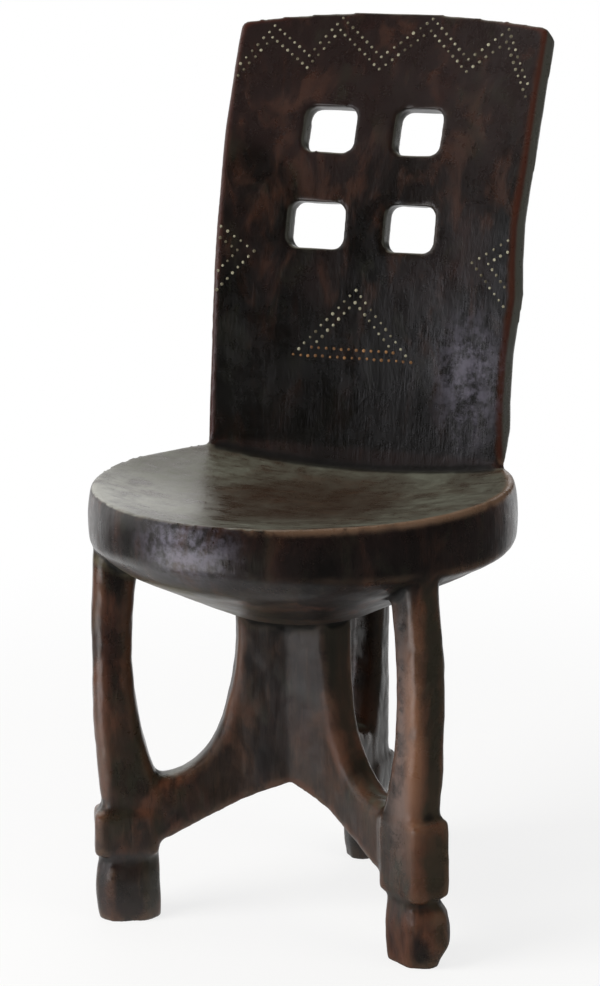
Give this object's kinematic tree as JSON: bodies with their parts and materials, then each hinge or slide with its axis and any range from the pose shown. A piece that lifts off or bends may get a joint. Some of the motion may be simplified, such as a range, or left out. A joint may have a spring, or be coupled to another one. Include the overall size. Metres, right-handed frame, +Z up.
{
  "type": "carved three-legged chair",
  "caption": "Low round dished seat on looped legs with a tall curved pierced back, carved from one log, with a pattern of driven wire pins.",
  "frame": {"origin": "floor level, under the middle of the chair's bounding box", "axes": "+Z up, -Y the way the sitter faces, +X to the right seen from the front"},
  "size_m": [0.4259, 0.4888, 0.892],
  "materials": {
    "carved_wood": "satin",
    "pale_wire": "satin",
    "warm_wire": "satin"
  },
  "bodies": {
    "root": {"seat": "carved_wood", "backrest": "carved_wood", "front_left_post": "carved_wood", "front_left_brace": "carved_wood", "front_left_cuff": "carved_wood", "front_left_foot": "carved_wood", "front_right_post": "carved_wood", "front_right_brace": "carved_wood", "front_right_cuff": "carved_wood", "front_right_foot": "carved_wood", "rear_post": "carved_wood", "rear_brace": "carved_wood", "rear_cuff": "carved_wood", "rear_foot": "carved_wood", "upper_zigzag_pins": "pale_wire", "lower_zigzag_pins": "pale_wire", "left_chevron_pins": "pale_wire", "right_chevron_pins": "pale_wire", "triangle_side_pins": "pale_wire", "triangle_base_pins": "warm_wire"}
  },
  "joints": []
}
